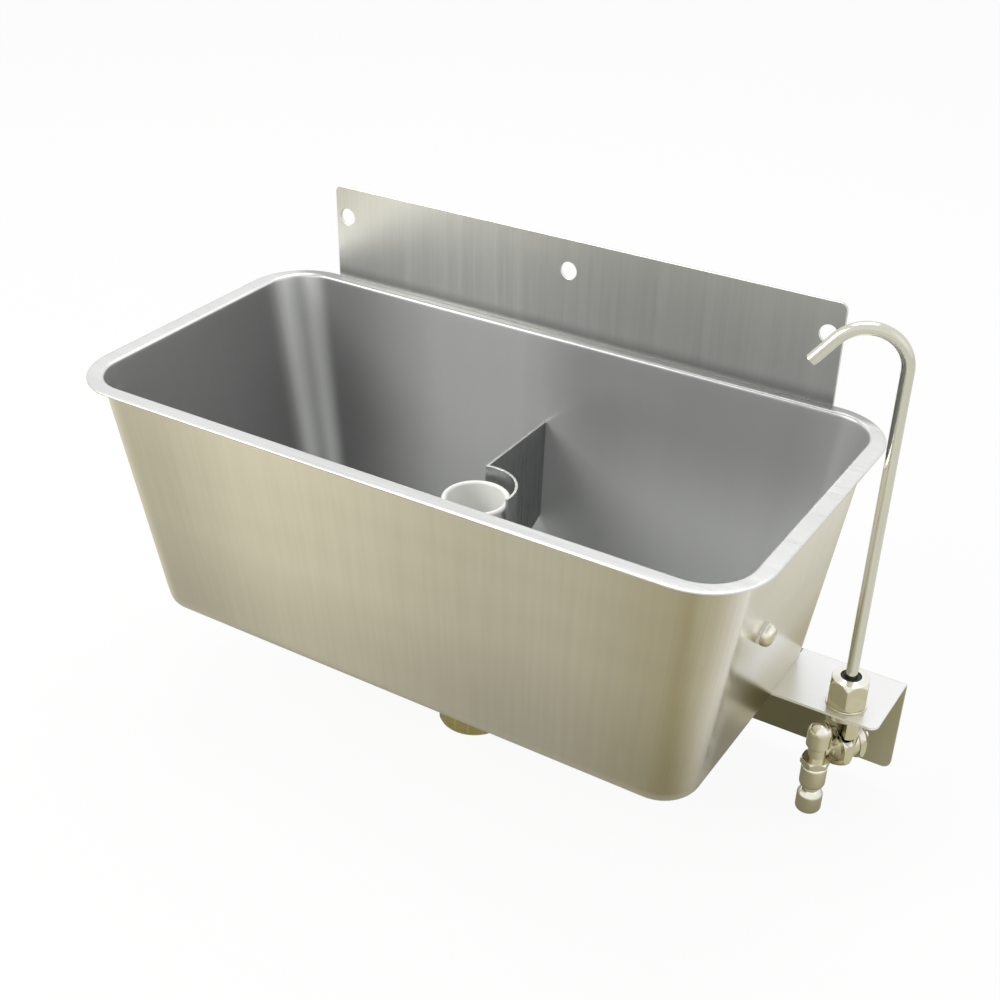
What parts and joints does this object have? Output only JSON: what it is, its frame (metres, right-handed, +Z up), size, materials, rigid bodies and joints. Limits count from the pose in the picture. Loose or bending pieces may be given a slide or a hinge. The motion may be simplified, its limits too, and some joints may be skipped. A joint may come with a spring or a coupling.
{
  "type": "dipper well",
  "caption": "Wall-hung steel dipper well: tapered tub, back plate, lift-out standpipe and baffle, and a swivelling spout on a valve bracket.",
  "frame": {"origin": "middle screw hole of the back plate, in the wall plane", "axes": "+X to the right along the wall, +Y into the wall, +Z up"},
  "size_m": [0.4317, 0.2, 0.2903],
  "materials": {
    "steel_tub": "brushed",
    "steel_plate": "brushed",
    "steel_tube": "polished",
    "nickel": "satin plated",
    "brass": "machined",
    "white_plastic": "semi-gloss",
    "rubber": "matte",
    "fibre": "matte"
  },
  "bodies": {
    "tub_body": {"tub": "steel_tub", "back_plate": "steel_plate", "bracket": "steel_plate", "end_plug": "nickel", "plug_seal": "white_plastic", "plug_washer": "nickel", "plug_nut": "nickel", "waste": "nickel", "waste_seal": "rubber", "lower_seal": "rubber", "slip_ring": "fibre", "backnut": "brass", "tail_seal": "rubber", "tail_nut": "brass", "valve_body": "nickel", "under_washer": "fibre", "gland_washer": "nickel", "gland_nut": "nickel", "gland_packing": "rubber", "union_nut": "nickel", "branch_seal": "fibre", "elbow": "nickel", "elbow_nut": "nickel", "check_body": "nickel", "hose_nut": "nickel", "inlet_seal": "rubber", "bonnet": "nickel"},
    "spout_body": {"spout": "steel_tube", "spout_ferrule": "brass"},
    "spindle_body": {"spindle": "nickel"},
    "standpipe_body": {"standpipe": "white_plastic", "standpipe_ring": "rubber"},
    "baffle_body": {"baffle": "steel_plate"}
  },
  "joints": [
    {"name": "spout_swivel", "type": "hinge", "parent": "tub_body", "child": "spout_body", "pos_m": [0.21, -0.0545, -0.17], "axis": [0, 0, 1], "continuous": true},
    {"name": "flow_adjust", "type": "hinge", "parent": "tub_body", "child": "spindle_body", "pos_m": [0.2135, -0.04844, -0.207], "axis": [0.5, 0.866, 0], "range_deg": [0, 540]},
    {"name": "standpipe_lift", "type": "slide", "parent": "tub_body", "child": "standpipe_body", "axis": [0, 0, 1], "range_m": [0, 0.165]},
    {"name": "baffle_lift", "type": "slide", "parent": "tub_body", "child": "baffle_body", "axis": [0, 0, 1], "range_m": [0, 0.15]}
  ]
}
